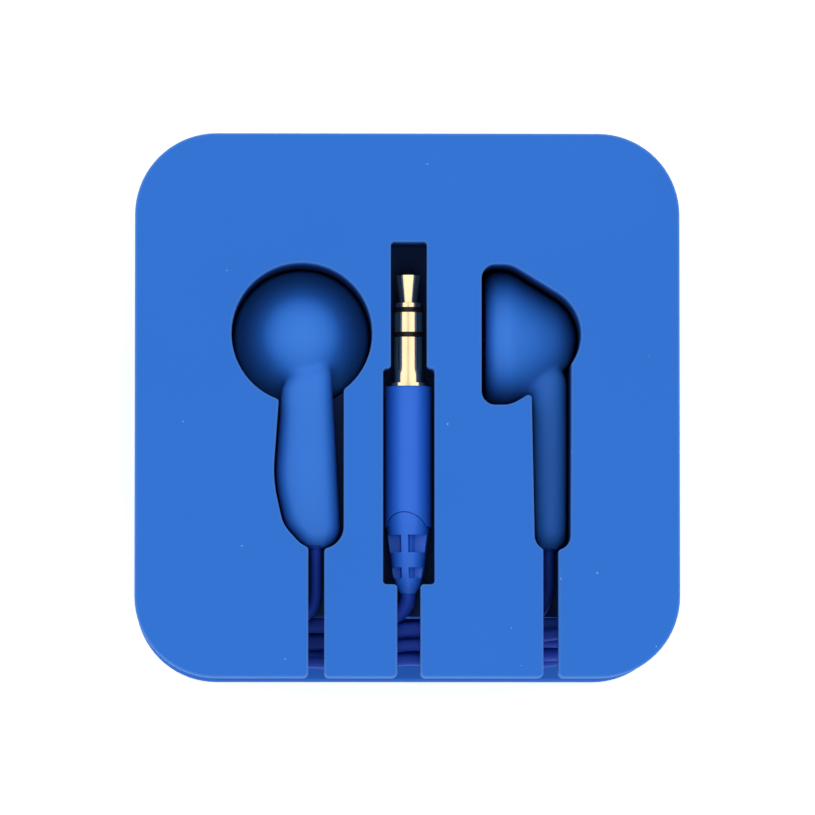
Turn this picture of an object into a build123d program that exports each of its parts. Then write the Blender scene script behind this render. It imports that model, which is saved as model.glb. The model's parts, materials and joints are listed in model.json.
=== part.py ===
from build123d import *
import math
import os

# Wired earphones stored in a square silicone winder. Millimetres, +Z up, origin at the middle of the
# winder's back face. The winder lies on its back, with its cord slots towards -Y.

# ---- winder case ----
CASE_SIDE = 63.5
CASE_HEIGHT = 20.0
CASE_CORNER = 9.5
FRONT_FLANGE = 3.5
REAR_FLANGE = 3.5
GROOVE_DEPTH = 7.35
HUB_CORNER = 5.0
EDGE_ROUND = 0.45
FLAP_CORNER = 0.6
POCKET_CORNER = 0.42

# ---- places of the three things that the case holds ----
LEFT_HEAD_Y = 8.4
LEFT_FACE_Z = 7.7
RIGHT_FACE_X = 9.2
RIGHT_HEAD_Y = 8.27
RIGHT_FLOOR = 1.8
PLUG_X = 0.17
PLUG_SHOULDER_Y = 2.4
PLUG_Z = 15.5
PLUG_ROLL = -12.0

# ---- named clearances ----
BUD_GAP = 0.25
FLOOR_GAP = 0.3
FACE_GAP = 0.55
PLUG_GAP = 0.35
INNER_GAP = 0.05
THIN_GAP = 0.02

# ---- earbud shells ----
HEAD_R = 7.95
HEAD_DEPTH = 10.8
FACE_CORNER = 1.6
SHOULDER_W = 2.84
SHOULDER_R = 3.0
CONE_ANGLE = 31.6
SEAM_W = 2.05
SHELL_WALL = 0.9
STEM_FRONT_W = 5.4
STEM_BACK_W = 9.7
STEM_ROUND = 1.7
STEM_TAPER_FRONT = 0.5
STEM_TAPER_BACK = 0.15
STEM_TOP_V = -3.4
STEM_END_V = -24.9
STEM_BULGE = -3.1
STEM_RIGHT = 4.65
STEM_LEAN = 1.2
STEM_TOP_ROUND = 1.0
STEM_END_ROUND = 2.4
# the stem's bulged side: how far in from the bulge, how far up from the stem's end, corner radius
STEM_SIDE = ((3.6, 0.0, 3.0), (1.15, 2.7, 4.0), (0.0, 7.9, 15.0), (0.8, 19.0, 2.5), (2.8, 21.3, 2.5))
CORD_EXIT_U = 1.7
CORD_EXIT_W = 7.5

# ---- driver inside each earbud ----
PLATE_T = 0.9
GRILLE_HOLE_R = 0.4
GRILLE_ROWS = ((6, 1.7), (12, 3.4), (18, 5.1))
SCREEN_R = 5.8
SCREEN_T = 0.15
FRAME_R = 6.75
FRAME_FRONT_W = 1.25
FRAME_FLANGE_T = 1.15
FRAME_BARREL_R = 5.9
FRAME_BACK_W = 3.9
FRAME_WALL = 0.6
FRAME_SEAT = 0.5
VENT_R = 0.35
VENT_COUNT = 8
LEDGE_BACK_W = 3.15
DIAPHRAGM_R = 6.0
DIAPHRAGM_T = 0.15
DIAPHRAGM_W = 1.75
# the film's front side from its rim to its middle: radius, height over the rim
FILM = ((DIAPHRAGM_R, 0), (5.3, 0), (5.0, -0.25), (4.6, -0.3), (4.2, -0.2), (3.9, 0), (3.3, 0), (2.4, -0.3),
        (1.2, -0.45), (0, -0.5))
COIL_R = 3.58
COIL_T = 0.3
COIL_LENGTH = 1.5
YOKE_R = 4.2
YOKE_WALL = 0.32
YOKE_FRONT_W = 2.3
YOKE_BACK_W = 4.6
YOKE_FLOOR = 0.6
MAGNET_R = 3.1
POLE_R = 3.3
POLE_T = 0.5
BOARD_T = 0.4
BOARD_WIDE = 4.6
BOARD_HIGH = 3.0
FELT_T = 0.25
WIRE_R = 0.2
WIRE_PITCH = 1.4
WIRE_TURN_V = -2.5
WIRE_TURN_W = 7.3
PASSAGE_R = 0.9
WIRE_BENDS = (0.8, 0.4)

# ---- cords ----
BRANCH_D = 1.35
MAIN_D = 1.8
BUSH_R = 1.0
BUSH_PROUD = 0.05
BUSH_LENGTH = 2.2
STOP_R = 1.1
STOP_LENGTH = 2.4
TAIL_LENGTH = 1.5

# ---- 3.5 mm three-pole plug, measured back from its tip ----
PIN_R = 1.75
PIN_LENGTH = 13.9
TIP_R = 1.59
TIP_POINT_R = 0.35
TIP_CONE = 0.9
TIP_WAIST_R = 1.12
TIP_WAIST_AT = 4.0
TIP_COLLAR_AT = 4.15
BAND_STEP = 0.01
FIRST_BAND_AT = 4.65
RING_AT = 5.25
SECOND_BAND_AT = 7.55
SLEEVE_AT = 8.15
FLANGE_R = 2.15
FLANGE_T = 0.4
ROD_R = 0.45
TUBE_WALL = 0.28
TAG_STEP = 0.9
TAG_LENGTH = 2.6
HANDLE_R = 2.75
HANDLE_ROUND = 0.25
ARCH_R = 2.55
ARCH_TOP = 14.7
SEAM_GAP = 0.1
SEAM_DEPTH = 0.4
CORE_R = 2.1
CORE_LENGTH = 8.2
BOOT_STEP = 0.1
BOOT_COLLAR = 0.6
BOOT_END = 24.3
BOOT_WIDE_AT = 17.4
BOOT_WIDE_R = 2.37
BOOT_SLIM_AT = 21.6
BOOT_SLIM_R = 1.85
SPINE = 0.8
WINDOW_FLOOR = 0.15
WINDOW_WEB = 1.1
WINDOW_ROWS = ((17.4, 2.05), (21.2, 1.25))

# ---- slots and winding ----
LEFT_SLOT = 1.86
RIGHT_SLOT = 1.75
PLUG_SLOT = 2.7
SLOT_GAP = 0.4
SLOT_FLARE = 2.5
SLOT_OVERLAP = 2.0
LIP_T = 2.0
PIN_POCKET = 4.9
PIN_MOUTH = 4.2
PIN_END_GAP = 2.75
HANDLE_SIDE_GAP = 0.25
POCKET_WALL = 1.27
HANDLE_TOP_GAP = 1.87
HANDLE_POCKET_END = -20.87
WINDING_GAP = 0.1
WINDING_DEPTH = 5.8
WINDING_TOP_GAP = 0.1
WINDING_HEIGHT = 8.5
SPLIT_Y = 10.0
SPLIT_LENGTH = 14.0
SPLIT_WIDE = 4.2
SPLIT_SLIM = 2.8
SPLIT_T = 2.8
SPLIT_ROUND = 0.8
SPLIT_GAP = 0.3
SPLIT_PROUD = 1.1

# ---- worked out ----
HANDLE_POCKET = 2 * (HANDLE_R + HANDLE_SIDE_GAP)
HANDLE_POCKET_TOP = PLUG_SHOULDER_Y + HANDLE_TOP_GAP
PIN_POCKET_END = PLUG_SHOULDER_Y + PIN_LENGTH + PIN_END_GAP
LEFT_HEAD_X = PLUG_X - HANDLE_POCKET / 2 - POCKET_WALL - BUD_GAP - HEAD_R
RIGHT_AXIS_Z = RIGHT_FLOOR + FLOOR_GAP + HEAD_R
WINDOW_FLOOR_R = MAIN_D / 2 + WINDOW_FLOOR
HALF = CASE_SIDE / 2
HUB_SIDE = CASE_SIDE - 2 * GROOVE_DEPTH
HUB_HALF = HUB_SIDE / 2
FLANGE_UNDER = CASE_HEIGHT - FRONT_FLANGE
WINDING_INSIDE = HUB_HALF + WINDING_GAP
WINDING_OUTSIDE = WINDING_INSIDE + WINDING_DEPTH
WINDING_TOP = FLANGE_UNDER - WINDING_TOP_GAP
ABOVE = 5.0
SAME = 0.001
SHARP_BELOW = 165


def box_between(x0, x1, y0, y1):
    return Pos((x0 + x1) / 2, (y0 + y1) / 2) * Rectangle(x1 - x0, y1 - y0)


def ring(r_out, r_in, low, high):
    """A ring about Z from low to high."""
    tube = Circle(r_out) - Circle(r_in) if r_in > 0 else Circle(r_out)
    return Pos(0, 0, low) * extrude(tube, high - low)


def turned(points):
    """A solid turned about Z from (radius, height) points."""
    return revolve(Plane.XZ * make_face(Polyline(*points, close=True)), Axis.Z)


def largest(shape):
    return shape.solids().sort_by(SortBy.VOLUME)[-1]


# ---- earbud ----
def head_section(grow=0.0):
    """The head cut through its axis: x across, y back from the face."""
    slope = math.radians(CONE_ANGLE)
    nx, ny = math.cos(slope), math.sin(slope)
    nose_r = (nx * HEAD_R + ny * (SHOULDER_W - HEAD_DEPTH)) / (1 - ny)
    nose_w = HEAD_DEPTH - nose_r
    nose = (nx * nose_r, nose_w + ny * nose_r)
    half_turn = math.radians((90 + CONE_ANGLE) / 2)
    middle = (nose_r * math.cos(half_turn), nose_w + nose_r * math.sin(half_turn))
    edge = Polyline((0, 0), (HEAD_R, 0), (HEAD_R, SHOULDER_W), nose)
    edge += ThreePointArc(nose, middle, (0, HEAD_DEPTH))
    edge += Line((0, HEAD_DEPTH), (0, 0))
    half = make_face(edge)
    corners = half.vertices().sort_by(Axis.X)[-2:]
    half = fillet(corners.sort_by(Axis.Y)[0], FACE_CORNER)
    shoulder = [v for v in half.vertices() if abs(v.Y - SHOULDER_W) < SAME]
    half = fillet(shoulder, SHOULDER_R)
    whole = half + mirror(half, Plane.YZ)
    return offset(whole, grow) if grow else whole


def head_solid(grow=0.0):
    half = head_section(grow) & box_between(0, 2 * HEAD_R, -HEAD_R, 2 * HEAD_DEPTH)
    return revolve(Plane.XZ * half, Axis.Z)


def rounded_polygon(corners):
    """A closed outline from (x, y, radius) corners."""
    outline = make_face(Polyline(*[(x, y) for x, y, _ in corners], close=True))
    for x, y, radius in corners:
        corner = outline.vertices().sort_by_distance((x, y, 0))[0]
        outline = fillet(corner, radius)
    return outline


def stem_outline(grow=0.0, lean=0.0):
    """The paddle-shaped stem seen from behind: x across, y up, with the head's axis at the origin."""
    corners = [
        (STEM_RIGHT - lean, STEM_TOP_V, STEM_TOP_ROUND),
        (STEM_RIGHT, STEM_END_V, STEM_END_ROUND),
    ]
    corners += [(STEM_BULGE + x, STEM_END_V + y, radius) for x, y, radius in STEM_SIDE]
    outline = rounded_polygon(corners)
    return offset(outline, grow) if grow else outline


def stem_side(grow=0.0):
    """The stem seen edge on: x back from the face, y up. It is thinner towards its end."""
    front, back, end = STEM_FRONT_W - grow, STEM_BACK_W + grow, STEM_END_V - grow
    return make_face(Polyline((front, 0), (front + STEM_TAPER_FRONT, end), (back - STEM_TAPER_BACK, end),
                              (back, 0), close=True))


def stem_solid():
    slab = Pos(0, 0, STEM_FRONT_W) * extrude(stem_outline(lean=STEM_LEAN), STEM_BACK_W - STEM_FRONT_W)
    across = Plane(origin=(HEAD_R, 0, 0), x_dir=(0, 0, 1), z_dir=(-1, 0, 0))
    slab = slab & extrude(across * stem_side(), 2 * HEAD_R)
    return fillet(slab.edges().filter_by(Axis.Z, reverse=True), STEM_ROUND)


def stem_bore():
    inside = stem_outline(-SHELL_WALL, STEM_LEAN)
    low = STEM_FRONT_W + SHELL_WALL
    return Pos(0, 0, low) * extrude(inside, STEM_BACK_W - SHELL_WALL - low)


def cord_line(v0, v1, radius):
    """A round bar along the cord's way out of the stem."""
    start = Plane(origin=(CORD_EXIT_U, v0, CORD_EXIT_W), z_dir=(0, 1, 0))
    return extrude(start * Circle(radius), v1 - v0)


def grille_holes():
    holes = Circle(GRILLE_HOLE_R)
    for count, radius in GRILLE_ROWS:
        holes += PolarLocations(radius, count) * Circle(GRILLE_HOLE_R)
    return Pos(0, 0, -ABOVE) * extrude(holes, 2 * ABOVE)


def bud_pieces():
    """Every piece of the left earbud in its own frame: face at z = 0, dome towards +z, stem towards -y."""
    everywhere = Rectangle(CASE_SIDE, CASE_SIDE)
    head = head_solid()
    hollow = head_solid(-SHELL_WALL)
    stem = stem_solid()
    bore = stem_bore()
    bush_hole = cord_line(STEM_END_V - 1, STEM_END_V + BUSH_LENGTH, BUSH_R)
    front_half = Pos(0, 0, SEAM_W - ABOVE) * extrude(everywhere, ABOVE)

    cap = (head - hollow) & front_half
    cap = cap + ring(FRAME_R, SCREEN_R, PLATE_T, FRAME_FRONT_W)
    cap = cap - grille_holes()

    shell = (head + stem) - hollow - bore - bush_hole - front_half
    ledge = ring(HEAD_R, FRAME_BARREL_R + INNER_GAP, FRAME_FRONT_W + FRAME_FLANGE_T, LEDGE_BACK_W)
    shell = shell + (ledge & hollow)
    below_seam = Pos(0, 0, CORD_EXIT_W - 2 * ABOVE) * extrude(everywhere, 2 * ABOVE)
    cover = ((stem - head) & below_seam) - bore - bush_hole
    cover = largest(cover)
    shell = largest(shell - ((stem - head) & below_seam))
    shell = shell - cord_line(STEM_TOP_V - 2 * SHELL_WALL, WIRE_TURN_V, PASSAGE_R)

    flange_back = FRAME_FRONT_W + FRAME_FLANGE_T
    frame = ring(FRAME_R, DIAPHRAGM_R - FRAME_SEAT, FRAME_FRONT_W, flange_back)
    frame += ring(FRAME_BARREL_R, FRAME_BARREL_R - FRAME_WALL, flange_back, FRAME_BACK_W)
    frame += ring(FRAME_BARREL_R, YOKE_R + THIN_GAP, FRAME_BACK_W - FRAME_WALL, FRAME_BACK_W)
    frame -= ring(DIAPHRAGM_R + THIN_GAP, 0, FRAME_FRONT_W, DIAPHRAGM_W + DIAPHRAGM_T)
    vent_r = (YOKE_R + FRAME_BARREL_R) / 2
    vents = Sketch() + PolarLocations(vent_r, VENT_COUNT) * Circle(VENT_R)
    frame -= Pos(0, 0, FRAME_BACK_W - 2 * FRAME_WALL) * extrude(vents, 3 * FRAME_WALL)

    film_back = DIAPHRAGM_W + DIAPHRAGM_T
    front_side = [(r, DIAPHRAGM_W + w) for r, w in FILM]
    back_side = [(r, film_back + w) for r, w in reversed(FILM)]
    diaphragm = turned(front_side + back_side)
    coil = ring(COIL_R + COIL_T / 2, COIL_R - COIL_T / 2, film_back, film_back + COIL_LENGTH)

    yoke = ring(YOKE_R, YOKE_R - YOKE_WALL, YOKE_FRONT_W, YOKE_BACK_W)
    yoke += ring(YOKE_R, 0, YOKE_BACK_W - YOKE_FLOOR, YOKE_BACK_W)
    magnet = ring(MAGNET_R, 0, YOKE_FRONT_W + POLE_T, YOKE_BACK_W - YOKE_FLOOR)
    pole = ring(POLE_R, 0, YOKE_FRONT_W, YOKE_FRONT_W + POLE_T)
    board = Pos(0, 0, YOKE_BACK_W) * extrude(RectangleRounded(BOARD_WIDE, BOARD_HIGH, BOARD_T), BOARD_T)
    felt = ring(FRAME_BARREL_R - 2 * INNER_GAP, YOKE_R + INNER_GAP, FRAME_BACK_W, FRAME_BACK_W + FELT_T)
    screen = ring(SCREEN_R - INNER_GAP, 0, PLATE_T, PLATE_T + SCREEN_T)

    bush_end = STEM_END_V - BUSH_PROUD
    stop_v = STEM_END_V + BUSH_LENGTH
    bush = cord_line(bush_end, stop_v, BUSH_R - THIN_GAP)
    tail_v = stop_v + STOP_LENGTH + TAIL_LENGTH
    tail = cord_line(bush_end, tail_v, BRANCH_D / 2)
    bush -= cord_line(STEM_END_V - 1, stop_v + 1, BRANCH_D / 2)
    stop = tail + cord_line(stop_v, stop_v + STOP_LENGTH, STOP_R)

    wires = Part()
    for side in (-1, 1):
        near, far = CORD_EXIT_U + side * WIRE_PITCH / 4, side * WIRE_PITCH
        route = FilletPolyline(
            (near, tail_v, CORD_EXIT_W),
            (near, WIRE_TURN_V, WIRE_TURN_W),
            (far, 0, YOKE_BACK_W + 3 * BOARD_T),
            (far, 0, YOKE_BACK_W + BOARD_T),
            radius=WIRE_BENDS,
        )
        wires += sweep(Plane(origin=route @ 0, z_dir=route % 0) * Circle(WIRE_R), path=route)

    return {
        "front_cap": cap,
        "grille_screen": screen,
        "driver_frame": frame,
        "diaphragm": diaphragm,
        "voice_coil": coil,
        "yoke": yoke,
        "magnet": magnet,
        "pole_plate": pole,
        "terminal_board": board,
        "damping_felt": felt,
        "rear_shell": shell,
        "stem_cover": cover,
        "cord_bush": bush,
        "cord_stop": stop,
        "lead_wires": wires,
    }


# ---- plug ----
def along_plug(shape):
    """Puts a shape made along -Z from the plug's tip into the case, with the tip towards +Y."""
    tip = (PLUG_X, PLUG_SHOULDER_Y + PIN_LENGTH, PLUG_Z)
    place = Plane(origin=tip, x_dir=(1, 0, 0), z_dir=(0, 1, 0))
    return place.location * (Rot(0, 0, PLUG_ROLL) * shape)


def plug_turned(points):
    """Turned piece of the plug from (radius, distance behind the tip) points."""
    return turned([(r, -t) for r, t in points])


def layer(number):
    """Outer radius of the rod (0) and of each tube around it."""
    return ROD_R + number * TUBE_WALL


def contact(front, back, tube_back, outer, number):
    """A band of the plug's surface with its tube running back inside the next pieces."""
    inner = layer(number - 1)
    return plug_turned([(inner, front), (outer, front), (outer, back), (layer(number), back),
                        (layer(number), tube_back), (inner, tube_back)])


def boot_profile():
    seam_r = HANDLE_R - BOOT_STEP
    end_r = MAIN_D / 2 - INNER_GAP
    top = -ARCH_TOP + 1
    slim = (BOOT_SLIM_R, -BOOT_SLIM_AT)
    wide = (BOOT_WIDE_R, -BOOT_WIDE_AT)
    edge = Polyline((0, top), (seam_r, top), (seam_r, -ARCH_TOP - BOOT_COLLAR), wide, slim)
    taper = (slim[0] - wide[0], slim[1] - wide[1])
    edge += TangentArc(slim, (end_r, -BOOT_END), tangent=taper)
    edge += Polyline((end_r, -BOOT_END), (0, -BOOT_END), (0, top))
    return make_face(edge)


def plug_pieces():
    tail_end = PIN_LENGTH + TAG_LENGTH
    tip = plug_turned([(0, 0), (TIP_POINT_R, 0), (TIP_R, TIP_CONE), (TIP_WAIST_R, TIP_WAIST_AT),
                       (TIP_R, TIP_COLLAR_AT), (TIP_R, FIRST_BAND_AT), (ROD_R, FIRST_BAND_AT),
                       (ROD_R, tail_end + 3 * TAG_STEP), (0, tail_end + 3 * TAG_STEP)])
    band_r = PIN_R - BAND_STEP
    first = contact(FIRST_BAND_AT, RING_AT, tail_end + 2 * TAG_STEP, band_r, 1)
    pole = contact(RING_AT, SECOND_BAND_AT, tail_end + TAG_STEP, PIN_R, 2)
    second = contact(SECOND_BAND_AT, SLEEVE_AT, tail_end, band_r, 3)
    inner = layer(3)
    sleeve = plug_turned([(inner, SLEEVE_AT), (PIN_R, SLEEVE_AT), (PIN_R, PIN_LENGTH - FLANGE_T),
                          (FLANGE_R, PIN_LENGTH - FLANGE_T), (FLANGE_R, PIN_LENGTH),
                          (layer(4), PIN_LENGTH), (layer(4), tail_end - TAG_STEP),
                          (inner, tail_end - TAG_STEP)])
    core_back = PIN_LENGTH + CORE_LENGTH
    core = plug_turned([(0, PIN_LENGTH), (CORE_R, PIN_LENGTH), (CORE_R, core_back), (0, core_back)])
    for piece in (tip, first, pole, second, sleeve):
        core = core - piece

    cord_r = MAIN_D / 2
    arch_at = PIN_LENGTH + ARCH_TOP
    cord_tail = plug_turned([(0, core_back), (cord_r, core_back), (cord_r, PIN_LENGTH + BOOT_END),
                             (0, PIN_LENGTH + BOOT_END)])
    handle_end = arch_at + ARCH_R
    handle = ring(HANDLE_R, 0, -handle_end, -PIN_LENGTH)
    shoulder = handle.edges().filter_by_position(Axis.Z, -PIN_LENGTH - SAME, -PIN_LENGTH + SAME)
    handle = fillet(shoulder, HANDLE_ROUND)
    wide = 4 * HANDLE_R
    across = Plane(origin=(0, -wide / 2, -handle_end), z_dir=(0, 1, 0))
    side_seam = -handle_end + ARCH_R / 3
    behind_seam = extrude(across * Circle(ARCH_R), wide)
    behind_seam += Pos(0, 0, side_seam - BOOT_END) * extrude(Rectangle(wide, wide), BOOT_END)
    handle = largest(handle - behind_seam)
    for piece in (core, sleeve, tip, first, pole, second, cord_tail):
        handle = handle - piece
    boot = Pos(0, 0, -PIN_LENGTH) * revolve(Plane.XZ * boot_profile(), Axis.Z)
    boot = (boot & behind_seam) - cord_tail
    seam = ring(wide, HANDLE_R - SEAM_DEPTH, side_seam - SEAM_GAP, side_seam + ARCH_R)
    boot = boot - (seam - extrude(across * Circle(ARCH_R - SEAM_GAP), wide))
    for at, length in WINDOW_ROWS:
        kept = extrude(Circle(WINDOW_FLOOR_R) + Rectangle(wide, WINDOW_WEB) + Rectangle(SPINE, wide), length)
        windows = extrude(Rectangle(wide, wide), length) - kept
        boot = boot - Pos(0, 0, -PIN_LENGTH - at - length) * windows
    boot = largest(boot)
    handle = largest(handle)
    return {
        "plug_tip": tip,
        "plug_tip_insulator": first,
        "plug_ring": pole,
        "plug_ring_insulator": second,
        "plug_sleeve": sleeve,
        "plug_core": core,
        "plug_handle": handle,
        "plug_boot": boot,
        "plug_cord_tail": cord_tail,
    }


# ---- winder case ----
def slot_cut(x, width, top_y, floor_z):
    """The slot that a cord leaves by: straight through the front flange, flared where it leaves the hub."""
    straight = box_between(x - width / 2, x + width / 2, -HALF - ABOVE, top_y)
    cut = Pos(0, 0, floor_z) * extrude(straight, CASE_HEIGHT + ABOVE - floor_z)
    reach = width / 2 + SLOT_FLARE
    flare = box_between(x - reach, x + reach, -HUB_HALF - 1, -HUB_HALF + SLOT_FLARE)
    for side in (-1, 1):
        flare -= Pos(x + side * reach, -HUB_HALF + SLOT_FLARE) * Circle(SLOT_FLARE)
    cut += Pos(0, 0, floor_z) * extrude(flare, FLANGE_UNDER - floor_z)
    return cut


def left_pocket():
    head = Pos(LEFT_HEAD_X, LEFT_HEAD_Y) * Circle(HEAD_R + BUD_GAP)
    stem = Pos(LEFT_HEAD_X, LEFT_HEAD_Y) * stem_outline(BUD_GAP)
    x = LEFT_HEAD_X + CORD_EXIT_U
    end = LEFT_HEAD_Y + STEM_END_V
    slot = box_between(x - LEFT_SLOT / 2, x + LEFT_SLOT / 2, -HALF - ABOVE, end + SLOT_OVERLAP)
    return head, stem, slot


def right_pocket():
    """Section of the earbud that lies on its side: its face towards -X, its stem towards -Y."""
    place = Pos(RIGHT_FACE_X, RIGHT_HEAD_Y) * Rot(0, 0, -90)
    head = place * head_section(BUD_GAP)
    face_side = box_between(RIGHT_FACE_X - FACE_GAP, RIGHT_FACE_X + FACE_CORNER,
                            RIGHT_HEAD_Y - HEAD_R - BUD_GAP, RIGHT_HEAD_Y + HEAD_R + BUD_GAP)
    face_side = fillet(face_side.vertices().group_by(Axis.X)[0], FACE_CORNER)
    end = RIGHT_HEAD_Y + STEM_END_V - BUD_GAP
    stem = Pos(RIGHT_FACE_X, RIGHT_HEAD_Y) * stem_side(BUD_GAP)
    stem = fillet(stem.vertices().group_by(Axis.Y)[0], STEM_ROUND)
    x = RIGHT_FACE_X + CORD_EXIT_W
    slot = box_between(x - RIGHT_SLOT / 2, x + RIGHT_SLOT / 2, -HALF - ABOVE, end + SLOT_OVERLAP)
    return head + face_side, stem, slot


def soften(outline, radius):
    """Rounds the inward and outward corners of a pocket's outline, except beyond the case's edge."""
    corners = [v for v in outline.vertices() if v.Y > -HALF and sharp(outline, v)]
    return fillet(corners, radius)


def sharp(outline, vertex):
    edges = [e for e in outline.edges() if e.distance_to(vertex) < SAME]
    if len(edges) != 2:
        return False
    directions = []
    for edge in edges:
        at_start = (edge @ 0 - Vector(*vertex)).length < SAME
        directions.append(edge % 0 if at_start else -(edge % 1))
    return directions[0].get_angle(directions[1]) < SHARP_BELOW


def raised(outline, floor_z, top_z=CASE_HEIGHT + ABOVE):
    return Pos(0, 0, floor_z) * extrude(outline, top_z - floor_z)


def winder_case():
    square = RectangleRounded(CASE_SIDE, CASE_SIDE, CASE_CORNER)
    slab = extrude(square, REAR_FLANGE)
    rear = fillet(slab.edges().filter_by(Plane.XY), EDGE_ROUND)
    front = Pos(0, 0, FLANGE_UNDER) * extrude(square, FRONT_FLANGE)
    hub = raised(RectangleRounded(HUB_SIDE, HUB_SIDE, HUB_CORNER), REAR_FLANGE - 1, FLANGE_UNDER + 1)
    case = rear + hub + front

    head, stem, slot = left_pocket()
    whole = soften(head + stem + slot, POCKET_CORNER)
    exit_z = LEFT_FACE_Z + CORD_EXIT_W
    floor = exit_z - BRANCH_D / 2 - SLOT_GAP
    case -= raised(whole, floor)
    below_slot = box_between(-HALF, HALF, LEFT_HEAD_Y + STEM_END_V - BUD_GAP, HALF)
    case -= raised(whole & below_slot, LEFT_FACE_Z + STEM_FRONT_W - FLOOR_GAP)
    case -= raised(head, LEFT_FACE_Z - FLOOR_GAP)
    case -= slot_cut(LEFT_HEAD_X + CORD_EXIT_U, LEFT_SLOT, LEFT_HEAD_Y + STEM_END_V, floor)

    head, stem, slot = right_pocket()
    whole = soften(head + stem + slot, POCKET_CORNER)
    exit_z = RIGHT_AXIS_Z + CORD_EXIT_U
    floor = exit_z - BRANCH_D / 2 - SLOT_GAP
    case -= raised(whole, floor)
    below_slot = box_between(-HALF, HALF, RIGHT_HEAD_Y + STEM_END_V - BUD_GAP, HALF)
    case -= raised(whole & below_slot, RIGHT_AXIS_Z + STEM_BULGE - FLOOR_GAP)
    case -= raised(head, RIGHT_AXIS_Z - HEAD_R - FLOOR_GAP)
    case -= slot_cut(RIGHT_FACE_X + CORD_EXIT_W, RIGHT_SLOT, RIGHT_HEAD_Y + STEM_END_V, floor)

    pin = box_between(PLUG_X - PIN_MOUTH / 2, PLUG_X + PIN_MOUTH / 2, 0, PIN_POCKET_END)
    handle = box_between(PLUG_X - HANDLE_POCKET / 2, PLUG_X + HANDLE_POCKET / 2,
                         HANDLE_POCKET_END, HANDLE_POCKET_TOP)
    slot = box_between(PLUG_X - PLUG_SLOT / 2, PLUG_X + PLUG_SLOT / 2, -HALF - ABOVE, 0)
    whole = soften(pin + handle + slot, POCKET_CORNER)
    floor = PLUG_Z - PLUG_SLOT / 2 - SLOT_GAP
    case -= raised(whole, floor)
    below_slot = box_between(-HALF, HALF, HANDLE_POCKET_END, HALF)
    case -= raised(whole & below_slot, PLUG_Z - HANDLE_R - PLUG_GAP)
    under_lip = box_between(PLUG_X - PIN_POCKET / 2, PLUG_X + PIN_POCKET / 2, 0, PIN_POCKET_END)
    case -= raised(under_lip, PLUG_Z - HANDLE_R - PLUG_GAP, CASE_HEIGHT - LIP_T)
    case -= slot_cut(PLUG_X, PLUG_SLOT, HANDLE_POCKET_END, floor)

    straight_side = HALF - CASE_CORNER - SAME
    in_front = case.edges().filter_by(Axis.Z).filter_by_position(Axis.Z, FLANGE_UNDER, CASE_HEIGHT)
    at_slots = in_front.filter_by_position(Axis.X, -straight_side, straight_side)
    case = fillet(at_slots.filter_by_position(Axis.Y, -HALF - SAME, -HALF + SAME), FLAP_CORNER)
    rims = [e for e in case.edges() if abs(e.bounding_box().min.Z - CASE_HEIGHT) < SAME]
    return fillet(rims, EDGE_ROUND)


# ---- cords in the case ----
def straight_cord(x, z, start_y, diameter):
    end_y = -WINDING_INSIDE
    start = Plane(origin=(x, end_y, z), z_dir=(0, 1, 0))
    return extrude(start * Circle(diameter / 2), start_y - end_y)


def split_outline(grow=0.0):
    """The Y joint seen from the case's side: x along the groove, y across it, branches at the low end."""
    half = SPLIT_LENGTH / 2
    edge = Polyline((-half, -SPLIT_WIDE / 2), (half, -SPLIT_SLIM / 2), (half, SPLIT_SLIM / 2),
                    (-half, SPLIT_WIDE / 2), close=True)
    outline = make_face(edge)
    return offset(outline, grow, kind=Kind.INTERSECTION) if grow else outline


def split_place(shape):
    z = WINDING_TOP - SPLIT_GAP - SPLIT_WIDE / 2
    x = WINDING_OUTSIDE + SPLIT_PROUD - SPLIT_T
    place = Plane(origin=(x, SPLIT_Y, z), x_dir=(0, -1, 0), z_dir=(1, 0, 0))
    return place.location * shape


def y_split():
    block = extrude(split_outline(), SPLIT_T)
    return split_place(fillet(block.edges(), SPLIT_ROUND))


def cord_winding():
    outside = RectangleRounded(2 * WINDING_OUTSIDE, 2 * WINDING_OUTSIDE, HUB_CORNER + WINDING_DEPTH)
    inside = RectangleRounded(2 * WINDING_INSIDE, 2 * WINDING_INSIDE, HUB_CORNER + WINDING_GAP)
    coil = raised(outside - inside, WINDING_TOP - WINDING_HEIGHT, WINDING_TOP)
    room = Pos(0, 0, -SPLIT_GAP) * extrude(split_outline(SPLIT_GAP), SPLIT_T + 2 * SPLIT_GAP + 1)
    return coil - split_place(room)


def main():
    left = Pos(LEFT_HEAD_X, LEFT_HEAD_Y, LEFT_FACE_Z)
    right_head = (RIGHT_FACE_X, RIGHT_HEAD_Y, RIGHT_AXIS_Z)
    right = Plane(origin=right_head, x_dir=(0, 0, -1), z_dir=(1, 0, 0)).location
    nodes = {"winder_case": winder_case()}
    for name, piece in bud_pieces().items():
        nodes["left_" + name] = left * piece
        nodes["right_" + name] = right * mirror(piece, Plane.YZ)
    for name, piece in plug_pieces().items():
        nodes[name] = along_plug(piece)
    bush_end = STEM_END_V - BUSH_PROUD
    nodes["left_cord"] = straight_cord(LEFT_HEAD_X + CORD_EXIT_U, LEFT_FACE_Z + CORD_EXIT_W,
                                       LEFT_HEAD_Y + bush_end, BRANCH_D)
    nodes["right_cord"] = straight_cord(RIGHT_FACE_X + CORD_EXIT_W, RIGHT_AXIS_Z + CORD_EXIT_U,
                                        RIGHT_HEAD_Y + bush_end, BRANCH_D)
    nodes["main_cord"] = straight_cord(PLUG_X, PLUG_Z, PLUG_SHOULDER_Y - BOOT_END, MAIN_D)
    nodes["cord_winding"] = cord_winding()
    nodes["y_split"] = y_split()
    os.makedirs("parts", exist_ok=True)
    for name, shape in nodes.items():
        export_step(shape, "parts/" + name + ".step")
    print(len(nodes), "nodes")


main()
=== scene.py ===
import json
import math

import bmesh
import bpy
import numpy as np
from mathutils import Matrix, Vector


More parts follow.
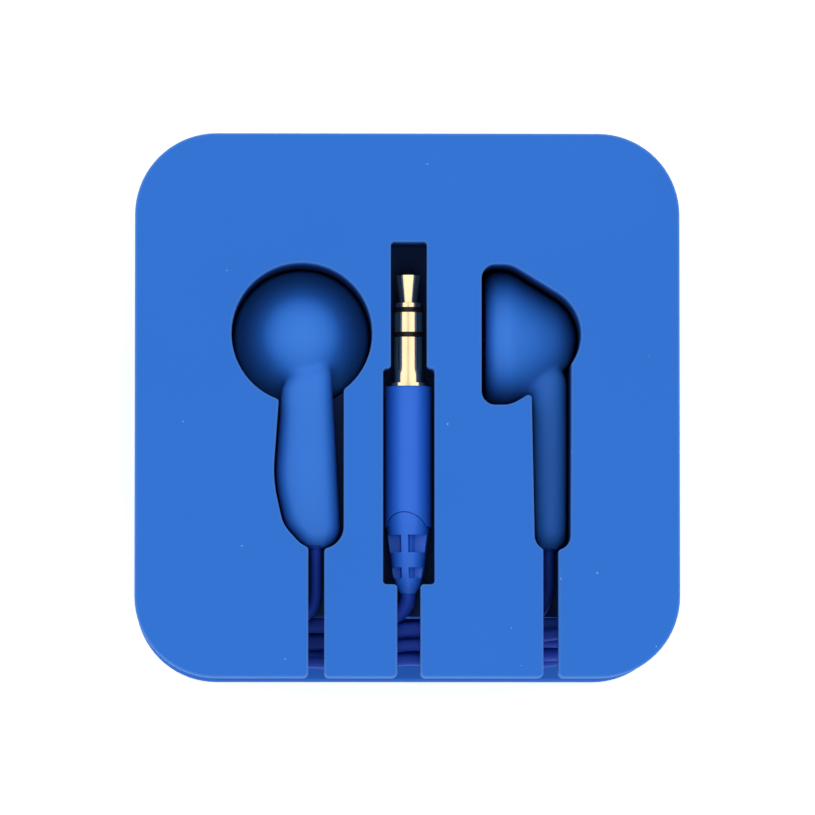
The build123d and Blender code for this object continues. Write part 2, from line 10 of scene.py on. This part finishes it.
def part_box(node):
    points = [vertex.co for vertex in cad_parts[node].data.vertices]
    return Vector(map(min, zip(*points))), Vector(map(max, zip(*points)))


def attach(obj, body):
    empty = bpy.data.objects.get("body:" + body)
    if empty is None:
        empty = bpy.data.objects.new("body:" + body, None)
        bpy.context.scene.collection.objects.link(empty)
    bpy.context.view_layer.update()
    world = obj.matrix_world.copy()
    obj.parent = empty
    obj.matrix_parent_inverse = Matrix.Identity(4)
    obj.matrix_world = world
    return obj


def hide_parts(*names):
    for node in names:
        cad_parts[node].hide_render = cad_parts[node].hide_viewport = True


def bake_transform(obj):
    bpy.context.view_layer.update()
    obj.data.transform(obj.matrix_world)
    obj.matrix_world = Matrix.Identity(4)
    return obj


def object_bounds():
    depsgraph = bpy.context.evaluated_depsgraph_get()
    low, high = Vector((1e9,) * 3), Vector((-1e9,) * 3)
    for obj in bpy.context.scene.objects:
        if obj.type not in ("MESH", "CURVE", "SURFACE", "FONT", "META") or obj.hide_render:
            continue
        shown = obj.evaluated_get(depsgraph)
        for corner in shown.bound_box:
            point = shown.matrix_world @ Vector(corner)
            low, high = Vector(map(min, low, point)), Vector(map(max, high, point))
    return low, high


# Wired earphones in a square silicone winder. The frame is in metres. Sizes here are in millimetres where a
# name ends in _MM and in the tables of points and turns, and in metres everywhere else.

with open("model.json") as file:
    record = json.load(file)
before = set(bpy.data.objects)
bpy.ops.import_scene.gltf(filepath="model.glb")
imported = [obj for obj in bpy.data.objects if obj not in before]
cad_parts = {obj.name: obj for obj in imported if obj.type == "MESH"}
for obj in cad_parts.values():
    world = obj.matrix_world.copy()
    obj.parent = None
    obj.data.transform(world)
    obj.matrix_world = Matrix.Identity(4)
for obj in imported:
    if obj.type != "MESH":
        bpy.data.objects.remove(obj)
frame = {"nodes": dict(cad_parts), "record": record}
cad_low, cad_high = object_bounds()
MM = 0.001


def mm(x, y, z):
    return Vector((x, y, z)) * MM


def put_in(name, data):
    """A new object for this data, in the scene."""
    piece = bpy.data.objects.new(name, data)
    bpy.context.scene.collection.objects.link(piece)
    return piece


def settled_mesh(piece):
    """The piece's tube or modifier as a plain mesh. The piece itself goes."""
    bpy.context.view_layer.update()
    graph = bpy.context.evaluated_depsgraph_get()
    mesh = bpy.data.meshes.new_from_object(piece.evaluated_get(graph))
    bpy.data.objects.remove(piece)
    return mesh


def smooth(mesh):
    for face in mesh.polygons:
        face.use_smooth = True


# ---- camera ----
CAMERA_AWAY = 1.0
SOUTH_DEGREES = 3.4
WEST_DEGREES = 1.2
VIEW_WIDTH = 0.09487
LOOK_AT_SOUTH = 0.0003
SENSOR_MM = 36.0
CLIP_FROM, CLIP_TO = 0.05, 10.0


def make_camera():
    """Looks almost straight down on the winder's front face, from a little below its slots."""
    target = Vector((0, -LOOK_AT_SOUTH, cad_high.z))
    west = math.tan(math.radians(WEST_DEGREES))
    south = math.tan(math.radians(SOUTH_DEGREES))
    back = Vector((-west, -south, 1)).normalized()
    right = Vector((0, 1, 0)).cross(back).normalized()
    up = back.cross(right)
    data = bpy.data.cameras.new("camera")
    data.sensor_width = SENSOR_MM
    data.lens = SENSOR_MM * CAMERA_AWAY / VIEW_WIDTH
    data.clip_start = CLIP_FROM
    data.clip_end = CLIP_TO
    camera = put_in("camera", data)
    turn = Matrix((right, up, back)).transposed().to_4x4()
    camera.matrix_world = Matrix.Translation(target + back * CAMERA_AWAY) @ turn
    bpy.context.scene.camera = camera


# ---- wound cord: how it goes round the hub ----
BRANCH_D_MM = 1.35
MAIN_D_MM = 1.8
WINDING_DEPTH_MM = 5.9
HUB_CORNER_MM = 5.0
STEP_MM = 3.0
FOLD_R_MM = 3.25
FOLD_POINTS = 9
FOLD_OUT_MM = 5.0
FOLD_LOW_MM, FOLD_HIGH_MM = 8.8, 15.3

winding_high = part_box("cord_winding")[1]
HUB_HALF_MM = winding_high.x / MM - WINDING_DEPTH_MM
STRAIGHT_MM = HUB_HALF_MM - HUB_CORNER_MM
CORNER_MM = math.pi / 2 * (HUB_CORNER_MM + WINDING_DEPTH_MM / 2)
SIDE_MM = 2 * STRAIGHT_MM + CORNER_MM
TURN_MM = 4 * SIDE_MM


def around(way, out, up):
    """A point in the groove: way clockwise from the slots' side's middle, out from the hub, up in z."""
    side, rest = divmod(way + STRAIGHT_MM, SIDE_MM)
    if rest < 2 * STRAIGHT_MM:
        along, away = rest - STRAIGHT_MM, HUB_HALF_MM + out
    else:
        angle = (rest - 2 * STRAIGHT_MM) / CORNER_MM * math.pi / 2
        along = STRAIGHT_MM + (HUB_CORNER_MM + out) * math.sin(angle)
        away = STRAIGHT_MM + (HUB_CORNER_MM + out) * math.cos(angle)
    turn = -math.pi / 2 * side
    x = -along * math.cos(turn) + away * math.sin(turn)
    y = -along * math.sin(turn) - away * math.cos(turn)
    return mm(x, y, up)


def wound(knots):
    """Points every few millimetres through (way, out, up) knots, easing from each to the next."""
    points = []
    for (way0, out0, up0), (way1, out1, up1) in zip(knots, knots[1:]):
        count = max(1, round(abs(way1 - way0) / STEP_MM))
        for i in range(count):
            t = i / count
            ease = t * t * (3 - 2 * t)
            way = way0 + (way1 - way0) * t
            out = out0 + (out1 - out0) * ease
            up = up0 + (up1 - up0) * ease
            points.append(around(way, out, up))
    points.append(around(*knots[-1]))
    return points


def fold(way, out, low, high):
    """The half turn where the main cord is doubled back, from its lower strand to its upper one."""
    middle = (low + high) / 2
    points = []
    for i in range(FOLD_POINTS):
        angle = math.pi * (i + 1) / (FOLD_POINTS + 1)
        up = middle - (high - low) / 2 * math.cos(angle)
        points.append(around(way + FOLD_R_MM * math.sin(angle), out, up))
    return points


# Points of the cords in and below the slots, and the knots of their turns in the groove.
T = TURN_MM
LEFT_END = [(-10.6, -16.5, 15.2), (-10.6, -18.2, 15.2), (-10.6, -19.9, 15.2), (-10.6, -21.6, 15.2)]
RIGHT_END = [(16.7, -16.6, 11.75), (16.7, -18.2, 11.75), (16.7, -19.7, 11.75), (16.7, -21.1, 11.75)]
PLUG_END = [
    (0.17, -21.9, 15.5), (0.17, -22.3, 15.5), (0.1, -22.85, 15.45), (-0.35, -23.65, 15.35),
    (-0.9, -24.15, 15.25),
]
LEFT_SLOT = [(-10.6, -21.3, 15.2), (-10.6, -22.4, 15.2), (-11.0, -23.7, 15.2), (-12.1, -24.7, 15.25)]
RIGHT_SLOT = [(16.7, -20.7, 11.75), (16.55, -22.3, 11.7), (15.95, -23.75, 11.5), (14.5, -24.85, 11.3)]
MAIN_SLOT = [(-0.72, -24.0, 15.28), (-1.15, -24.35, 15.2), (-2.3, -25.05, 14.95)]

LEFT_TURNS = [
    (14.5, 0.85, 15.3), (100, 0.85, 15.4), (178, 0.9, 15.35), (188, 2.2, 15.4),
    (196, 3.2, 15.2), (T + 1.3, 3.45, 15.1), (T + 4.5, 4.5, 14.6), (T + 10, 4.7, 12.4),
    (T + 25, 4.6, 13.5), (T + 118, 4.6, 13.5), (T + 132, 5.6, 13.2), (T + 139.2, 5.6, 13.2),
]
RIGHT_TURNS = [
    (-12, 0.85, 11.2), (0, 0.85, 11.1), (100, 0.85, 11.1), (174, 0.9, 11.05),
    (182, 3.4, 10.4), (188, 5.2, 11.0), (196, 5.7, 14.0), (T, 5.05, 15.0),
    (T + 4.5, 5.75, 15.1), (T + 11, 5.4, 14.7), (T + 25, 4.7, 15.1), (T + 118, 4.7, 15.1),
    (T + 132, 5.6, 14.8), (T + 139.2, 5.6, 14.8),
]
MAIN_OUTER = [
    (T + 151, 5.6, 14.0), (T + 154, 5.5, 14.0), (T + 162, 2.9, 12.7), (T + 174, 2.9, 12.7),
    (T + 182, 3.6, 12.5), (T + 188, 4.3, 12.4), (T + 196, 4.6, 12.6), (2 * T, 4.7, 12.6),
    (2 * T + 10, 4.7, 10.5), (2 * T + 24, 4.9, 11.6), (2 * T + 122, 4.9, 11.6), (2 * T + 138, 4.9, 10.5),
    (2 * T + 156, 4.9, 10.6), (2 * T + 170, FOLD_OUT_MM, FOLD_HIGH_MM),
]
MAIN_INNER = [
    (2 * T + 171, FOLD_OUT_MM, FOLD_LOW_MM), (2 * T + 165, 4.6, 9.1), (2 * T + 156, 3.0, 10.5),
    (2 * T + 138, 3.0, 10.5), (2 * T + 122, 2.9, 12.0), (2 * T + 24, 2.9, 12.0), (2 * T + 10, 2.7, 10.7),
    (2 * T, 2.6, 12.4), (T + 196, 2.5, 13.0), (T + 188, 2.8, 13.7), (T + 182, 2.8, 14.3),
    (T + 173, 2.7, 15.0), (T + 155, 2.7, 15.0), (T + 140, 2.75, 14.4), (T + 25, 2.75, 14.4),
    (T + 10, 3.0, 12.6), (T + 4.2, 2.9, 13.8), (T + 1.3, 1.65, 14.8), (T - 2, 1.6, 14.9),
    (196, 1.4, 14.4), (188, 1.0, 13.5), (178, 1.0, 13.3), (100, 1.0, 13.3), (10, 1.0, 13.35),
    (4.2, 1.0, 14.5),
]


def cord_curve(name, points, diameter):
    """One open spline with these points. Their radius carries the cord's thickness."""
    data = bpy.data.curves.new(name, "CURVE")
    data.dimensions = "3D"
    line = data.splines.new("NURBS")
    line.points.add(len(points) - 1)
    for place, point in zip(line.points, points):
        place.co = (*point, 1)
        place.radius = diameter / 2
    line.order_u = 3
    line.use_endpoint_u = True
    line.resolution_u = 3
    data.bevel_depth = 1.0
    data.bevel_resolution = 4
    data.use_fill_caps = True
    return put_in(name, data)


def placed(points):
    return [mm(*point) for point in points]


def cord_end(name, points, diameter):
    """The short stretch in a slot, from the earbud or plug at its upper end."""
    mesh = settled_mesh(cord_curve(name, placed(points), diameter * MM))
    mesh.name = name
    smooth(mesh)
    piece = put_in(name, mesh)
    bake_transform(piece)
    return piece


def make_cords():
    left_end = cord_end("left_cord_end", LEFT_END, BRANCH_D_MM)
    right_end = cord_end("right_cord_end", RIGHT_END, BRANCH_D_MM)
    plug_end = cord_end("plug_cord_end", PLUG_END, MAIN_D_MM)
    left = cord_curve("left_branch_cord", placed(LEFT_SLOT) + wound(LEFT_TURNS), BRANCH_D_MM * MM)
    right = cord_curve("right_branch_cord", placed(RIGHT_SLOT) + wound(RIGHT_TURNS), BRANCH_D_MM * MM)
    turned_back = fold(2 * T + 171, FOLD_OUT_MM, FOLD_LOW_MM, FOLD_HIGH_MM)[::-1]
    points = wound(MAIN_OUTER) + turned_back + wound(MAIN_INNER) + placed(MAIN_SLOT[::-1])
    main = cord_curve("main_cord_wound", points, MAIN_D_MM * MM)
    stands_for = ((left, ["left_cord"]), (right, ["right_cord"]), (main, ["main_cord", "cord_winding"]))
    for piece, nodes in stands_for:
        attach(piece, "case")
        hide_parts(*nodes)
    return [left_end, right_end, plug_end, left, right, main]


make_camera()
cords = make_cords()


# ---- earbud shells ----
SKIN_STEP = 0.2 * MM
SKIN_ROUNDS = 30
SKIN_PULL = 0.5
LIGHT_SHARE = 0.15
CREASE_DEGREES = 42
# Where smoothing sets in: behind the front cap's face, and up the stem from the head's middle.
BEHIND_CAP_MM = (2.6, 3.6)
ABOVE_STEM_END_MM = (-24.4, -23.4)
NECK_BEHIND_MM = (4.2, 6.0)
NECK_FROM_MM = (-10.5, -7.5)
NECK_TO_MM = (-2.6, 0.0)


def eased(values, low, high):
    """From 0 at low to 1 at high."""
    t = np.clip((values - low) / (high - low), 0, 1)
    return t * t * (3 - 2 * t)


def merged_skin(name, nodes, step):
    """One closed skin round several nodes that touch."""
    form = bmesh.new()
    for node in nodes:
        copy = node.data.copy()
        copy.transform(node.matrix_world)
        form.from_mesh(copy)
        bpy.data.meshes.remove(copy)
    mesh = bpy.data.meshes.new(name + "_rough")
    form.to_mesh(mesh)
    form.free()
    rough = put_in(name + "_rough", mesh)
    remesh = rough.modifiers.new("skin", "REMESH")
    remesh.mode = "VOXEL"
    remesh.voxel_size = step
    skin = settled_mesh(rough)
    skin.name = name
    return skin


def relax(mesh, weights, places, rounds):
    """Moves each point towards the middle of its neighbours, by its own weight."""
    count = len(places)
    ends = np.empty(2 * len(mesh.edges), int)
    mesh.edges.foreach_get("vertices", ends)
    a, b = ends.reshape(-1, 2).T
    share = (weights / np.maximum(np.bincount(ends, minlength=count), 1))[:, None]
    for _ in range(rounds):
        pull = []
        for k in range(3):
            apart = places[b, k] - places[a, k]
            pull.append(np.bincount(a, apart, count) + np.bincount(b, -apart, count))
        places = places + share * np.stack(pull, 1)
    mesh.vertices.foreach_set("co", places.ravel())
    mesh.update()


def cut_off(mesh, place, beyond):
    """Takes away what lies beyond a plane and closes the cut."""
    form = bmesh.new()
    form.from_mesh(mesh)
    everything = form.verts[:] + form.edges[:] + form.faces[:]
    cut = bmesh.ops.bisect_plane(form, geom=everything, plane_co=place, plane_no=beyond,
                                 clear_outer=True)
    rims = [edge for edge in cut["geom_cut"] if isinstance(edge, bmesh.types.BMEdge)]
    bmesh.ops.triangle_fill(form, edges=rims, use_beauty=True, use_dissolve=False, normal=beyond)
    bmesh.ops.recalc_face_normals(form, faces=form.faces[:])
    form.to_mesh(mesh)
    form.free()


def bud_shell(side):
    """The earbud's back and stem as one moulding, with the stem's top melting into the back."""
    low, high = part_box(side + "_front_cap")
    middle = (low + high) / 2
    nodes = [side + "_rear_shell", side + "_stem_cover"]
    whole = [frame["nodes"][node] for node in nodes + [side + "_front_cap"]]
    mesh = merged_skin(side + "_bud_shell", whole, SKIN_STEP)
    places = np.empty(3 * len(mesh.vertices))
    mesh.vertices.foreach_get("co", places)
    places = places.reshape(-1, 3)
    up_stem = (places[:, 1] - middle.y) / MM
    behind = (places[:, 2] - low.z if side == "left" else places[:, 0] - low.x) / MM
    everywhere = eased(behind, *BEHIND_CAP_MM) * eased(up_stem, *ABOVE_STEM_END_MM)
    neck = eased(behind, *NECK_BEHIND_MM) * eased(up_stem, *NECK_FROM_MM)
    neck = neck * (1 - eased(up_stem, *NECK_TO_MM))
    weights = SKIN_PULL * (LIGHT_SHARE * everywhere + (1 - LIGHT_SHARE) * neck)
    relax(mesh, weights, places, SKIN_ROUNDS)
    cut_off(mesh, high, Vector((0, 0, -1)) if side == "left" else Vector((-1, 0, 0)))
    smooth(mesh)
    mesh.set_sharp_from_angle(angle=math.radians(CREASE_DEGREES))
    piece = put_in(side + "_bud_shell", mesh)
    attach(piece, side + "_bud")
    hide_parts(*nodes)
    return piece


shells = [bud_shell("left"), bud_shell("right")]


# ---- finishes ----
SHADE_EDGE = 0.7 * MM
SHADE_DEPTH = 3.5 * MM
SHADE_SHARE = 0.85
HUB_FACE_SKIN = 0.05 * MM
FLANGE_UNDER = winding_high.z
RIM_FROM, RIM_GAIN, RIM_SHARE = 0.97, 3.0, 0.3
LINT_SIZE, LINT_RARE, LINT_SHARE = 0.045, 0.54, 0.4
FLATTER = 0.6


class Value:
    """One output of a finish's nodes. Sums and products of it add Math nodes."""

    def __init__(self, finish, socket):
        self.finish = finish
        self.socket = socket

    def maths(self, operation, *values):
        return self.finish.add("ShaderNodeMath", {"operation": operation}, dict(enumerate(values)))

    def __add__(self, other):
        return self.maths("ADD", self, other)

    def __radd__(self, other):
        return self.maths("ADD", other, self)

    def __sub__(self, other):
        return self.maths("SUBTRACT", self, other)

    def __rsub__(self, other):
        return self.maths("SUBTRACT", other, self)

    def __mul__(self, other):
        return self.maths("MULTIPLY", self, other)

    def __rmul__(self, other):
        return self.maths("MULTIPLY", other, self)

    def __truediv__(self, other):
        return self.maths("DIVIDE", self, other)

    def __abs__(self):
        return self.maths("ABSOLUTE", self)

    def above(self, level):
        return self.maths("GREATER_THAN", self, level)

    def clamped(self):
        return self.maths("MINIMUM", self.maths("MAXIMUM", self, 0.0), 1.0)


class Finish:
    """A material in the making."""

    def __init__(self, name):
        self.material = bpy.data.materials.new(name)
        self.material.use_nodes = True
        self.tree = self.material.node_tree
        self.tree.nodes.clear()
        self.place = self.add("ShaderNodeTexCoord", out="Object")

    def add(self, kind, settings=None, values=None, out=0):
        """Adds a node of a kind, with its settings made first, and returns one of its outputs."""
        node = self.tree.nodes.new(kind)
        for name, setting in (settings or {}).items():
            if name == "stops":
                for stop, (at, colour) in zip(node.color_ramp.elements, setting):
                    stop.position = at
                    stop.color = colour
            else:
                setattr(node, name, setting)
        for name, value in (values or {}).items():
            if isinstance(value, Value):
                self.tree.links.new(value.socket, node.inputs[name])
            else:
                node.inputs[name].default_value = value
        return Value(self, node.outputs[out]) if node.outputs else None

    def axis(self, name):
        return self.add("ShaderNodeSeparateXYZ", values={"Vector": self.place}, out=name)

    def painted_pocket_shade(self):
        """Painted shade: from 0 at the winder's front face to 1 deep in a pocket or slot, where the
        silicone's colour is darkened to stand in for shade.
        """
        x, y, z = self.axis("X"), self.axis("Y"), self.axis("Z")
        off, along = abs(x), abs(y)
        hub_half = HUB_HALF_MM * MM
        rounded = (2 * hub_half - HUB_CORNER_MM * MM - SHADE_EDGE - off - along).above(0.0)
        inside = (hub_half - SHADE_EDGE - off).above(0.0) * (hub_half - SHADE_EDGE - y).above(0.0)
        pocket = inside * rounded * (y + (hub_half - HUB_FACE_SKIN)).above(0.0)
        slot = inside * (y + (cad_high.y - SHADE_EDGE)).above(0.0) * z.above(FLANGE_UNDER)
        deep = ((cad_high.z - SHADE_EDGE - z) / SHADE_DEPTH).clamped()
        return deep.maths("MAXIMUM", pocket * deep, slot * deep)

    def noise(self, scale, detail=2.0, roughness=0.5):
        values = {"Vector": self.place, "Scale": scale, "Detail": detail, "Roughness": roughness}
        return self.add("ShaderNodeTexNoise", values=values)

    def mix(self, share, first, second):
        """A colour between two others."""
        return self.add("ShaderNodeMix", {"data_type": "RGBA"}, {0: share, 6: first, 7: second}, out=2)

    def bump(self, height, strength, distance):
        values = {"Height": height, "Strength": strength, "Distance": distance}
        return self.add("ShaderNodeBump", values=values)

    def surface(self, **sockets):
        """Ends the material in one shader. Names are those of its sockets, with _ for a space."""
        values = {name.replace("_", " "): value for name, value in sockets.items()}
        shader = self.add("ShaderNodeBsdfPrincipled", values=values)
        self.add("ShaderNodeOutputMaterial", values={"Surface": shader})
        return self.material


def tint(red, green, blue):
    """A colour as it looks on a screen, from 0 to 255 in each part, as the shader needs it."""
    parts = [part / 255 for part in (red, green, blue)]
    linear = [part / 12.92 if part <= 0.04045 else ((part + 0.055) / 1.055) ** 2.4 for part in parts]
    return (*linear, 1.0)


def soft_silicone():
    """Moulded silicone: a dull skin with a faint haze and lint that clings to it, with a painted highlight
    along its front rims and painted shade deep in its pockets and slots.
    """
    f = Finish("soft_silicone")
    clouds = f.noise(45.0, 3.0)
    grain = f.noise(2600.0, 4.0, 0.6)
    specks = f.add("ShaderNodeTexVoronoi", {"feature": "F1"},
                   {"Vector": f.place, "Scale": 420.0, "Randomness": 1.0})
    rare = f.noise(900.0, 1.0)
    lint = (LINT_SIZE - specks).above(0.0) * rare.above(LINT_RARE)
    # Painted highlight: the front face's rounded rims are lightened where they tilt away from straight up,
    # standing in for light caught on the edges.
    facing = f.add("ShaderNodeTexCoord", out="Normal")
    upward = f.add("ShaderNodeSeparateXYZ", values={"Vector": facing}, out="Z")
    tilted = ((RIM_FROM - upward) * RIM_GAIN).clamped()
    rim = tilted * f.axis("Z").above(cad_high.z - SHADE_EDGE) * upward.above(0.05)
    skin = f.mix(clouds, tint(34, 102, 193), tint(38, 106, 199))
    rim_highlighted = f.mix(rim * RIM_SHARE, skin, tint(110, 160, 225))
    dusty = f.mix(lint * LINT_SHARE, rim_highlighted, tint(190, 205, 230))
    # Painted shade: deep in the pockets and slots the silicone is darkened towards a near-black blue.
    colour = f.mix(f.painted_pocket_shade() * SHADE_SHARE, dusty, tint(6, 20, 60))
    return f.surface(Base_Color=colour, Roughness=0.62 + clouds * 0.08, Specular_IOR_Level=0.2,
                     Normal=f.bump(grain, 0.25, 0.00005))


def satin_plastic(name, dark, light, rough):
    """Painted or moulded plastic with a fine satin grain."""
    f = Finish(name)
    clouds = f.noise(120.0, 3.0)
    grain = f.noise(4200.0, 3.0, 0.6)
    colour = f.mix(clouds, dark, light)
    return f.surface(Base_Color=colour, Roughness=rough + grain * 0.08, Specular_IOR_Level=0.25,
                     Normal=f.bump(grain, 0.15, 0.00003))


def metal(name, dark, light, rough):
    """Plain metal with broad wear and a very fine grain."""
    f = Finish(name)
    wear = f.noise(300.0, 4.0, 0.6)
    fine = f.noise(6000.0, 2.0)
    return f.surface(Base_Color=f.mix(wear, dark, light), Metallic=1.0, Roughness=rough + wear * 0.08,
                     Normal=f.bump(fine, 0.05, 0.00002))


def plated_pin():
    """Bright gold plate. It shades as if it were flatter, so it mirrors a broad strip of light."""
    f = Finish("gold_plate")
    low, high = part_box("plug_sleeve")
    off = f.axis("X") - (low.x + high.x) / 2
    flat = off * off * (FLATTER / (high.x - low.x))
    wear = f.noise(300.0, 4.0, 0.6)
    colour = f.mix(wear, (0.98, 0.74, 0.42, 1), (1.0, 0.82, 0.52, 1))
    return f.surface(Base_Color=colour, Metallic=1.0, Roughness=0.12 + wear * 0.08,
                     Normal=f.bump(flat, 1.0, 1.0))


def woven(name, dark, light, pitch):
    """Fine cloth or wire mesh, with threads both ways."""
    f = Finish(name)
    across = f.add("ShaderNodeTexWave", {"bands_direction": "X"}, {"Vector": f.place, "Scale": pitch})
    up = f.add("ShaderNodeTexWave", {"bands_direction": "Y"}, {"Vector": f.place, "Scale": pitch})
    weave = across * up
    return f.surface(Base_Color=f.mix(weave, dark, light), Roughness=0.6,
                     Normal=f.bump(weave, 0.4, 0.00005))


def cord_rubber():
    """The cords' matt sheath, darker than the winder."""
    f = Finish("cord_rubber")
    clouds = f.noise(160.0, 2.0)
    grain = f.noise(3000.0, 3.0)
    colour = f.mix(clouds, tint(20, 58, 162), tint(26, 66, 174))
    return f.surface(Base_Color=colour, Roughness=0.5 + grain * 0.1, Specular_IOR_Level=0.18,
                     Normal=f.bump(grain, 0.15, 0.00003))


BUD_DARK, BUD_LIGHT = tint(43, 112, 204), tint(47, 116, 210)
HANDLE_DARK, HANDLE_LIGHT = tint(36, 100, 205), tint(42, 106, 212)
BLACK_DARK, BLACK_LIGHT = (0.006, 0.005, 0.005, 1), (0.012, 0.010, 0.010, 1)
FINISHES = {
    "blue_silicone": soft_silicone(),
    "bud_plastic": satin_plastic("bud_paint", BUD_DARK, BUD_LIGHT, 0.55),
    "handle_plastic": satin_plastic("handle_rubber", HANDLE_DARK, HANDLE_LIGHT, 0.38),
    "cord_sheath": cord_rubber(),
    "gold_plate": plated_pin(),
    "black_insulator": satin_plastic("black_insulator", BLACK_DARK, BLACK_LIGHT, 0.35),
    "core_plastic": satin_plastic("core_plastic", (0.6, 0.6, 0.56, 1), (0.7, 0.7, 0.66, 1), 0.5),
    "driver_plastic": satin_plastic("driver_plastic", (0.012, 0.012, 0.013, 1), (0.02, 0.02, 0.022, 1),
                                    0.45),
    "clear_film": satin_plastic("clear_film", (0.5, 0.52, 0.55, 1), (0.6, 0.62, 0.66, 1), 0.15),
    "copper_wire": metal("copper_wire", (0.75, 0.3, 0.14, 1), (0.88, 0.42, 0.22, 1), 0.3),
    "plated_steel": metal("plated_steel", (0.42, 0.42, 0.43, 1), (0.55, 0.55, 0.56, 1), 0.3),
    "nickel_plate": metal("nickel_plate", (0.55, 0.53, 0.5, 1), (0.68, 0.66, 0.62, 1), 0.16),
    "screen_mesh": woven("screen_mesh", (0.01, 0.01, 0.01, 1), (0.06, 0.06, 0.07, 1), 900.0),
    "white_felt": woven("white_felt", (0.6, 0.58, 0.54, 1), (0.8, 0.78, 0.74, 1), 700.0),
    "circuit_board": satin_plastic("circuit_board", (0.01, 0.10, 0.03, 1), (0.02, 0.16, 0.05, 1), 0.3),
}


def dress(piece, slot):
    piece.data.materials.clear()
    piece.data.materials.append(FINISHES[slot])


# ---- pieces that stand as the frame has them ----
SLOT_OF = {part["node"]: part["material_slot"] for part in frame["record"]["subparts"]}
for name, piece in frame["nodes"].items():
    dress(piece, SLOT_OF[name])
for piece in cords:
    dress(piece, "cord_sheath")
for piece in shells:
    dress(piece, "bud_plastic")


# ---- floor and light ----
FLOOR_HALF = 1.5
FLOOR_GLOW = 0.38
LIGHT_LEVEL = 1.25
# The light's share at each height, from level with the floor at 0 to straight overhead at 1.
SKY = [(0.05, 0.45), (0.55, 1.0), (0.9914, 1.0), (0.9976, 0.5)]


def make_floor():
    mesh = bpy.data.meshes.new("floor")
    form = bmesh.new()
    bmesh.ops.create_grid(form, x_segments=1, y_segments=1, size=FLOOR_HALF)
    form.to_mesh(mesh)
    form.free()
    f = Finish("floor_paper")
    colour = f.mix(f.noise(3.0), (0.9, 0.9, 0.9, 1), (0.93, 0.93, 0.93, 1))
    paper = f.surface(Base_Color=colour, Roughness=0.8, Specular_IOR_Level=0.1, Emission_Color=(1, 1, 1, 1),
                      Emission_Strength=FLOOR_GLOW)
    mesh.materials.append(paper)
    put_in("floor", mesh)


def make_world():
    """Soft light from above, weaker towards the floor and in a small round straight overhead."""
    world = bpy.data.worlds.new("world")
    world.use_nodes = True
    tree = world.node_tree
    place = tree.nodes.new("ShaderNodeTexCoord")
    parts = tree.nodes.new("ShaderNodeSeparateXYZ")
    ramp = tree.nodes.new("ShaderNodeValToRGB")
    stops = ramp.color_ramp.elements
    for i, (height, share) in enumerate(SKY):
        stop = stops[i] if i < 2 else stops.new(height)
        stop.position = height
        stop.color = (share, share, share, 1)
    tree.links.new(place.outputs["Generated"], parts.inputs["Vector"])
    tree.links.new(parts.outputs["Z"], ramp.inputs["Fac"])
    tree.links.new(ramp.outputs["Color"], tree.nodes["Background"].inputs["Color"])
    tree.nodes["Background"].inputs["Strength"].default_value = LIGHT_LEVEL
    bpy.context.scene.world = world


make_floor()
make_world()
bpy.context.scene.view_settings.view_transform = "Standard"
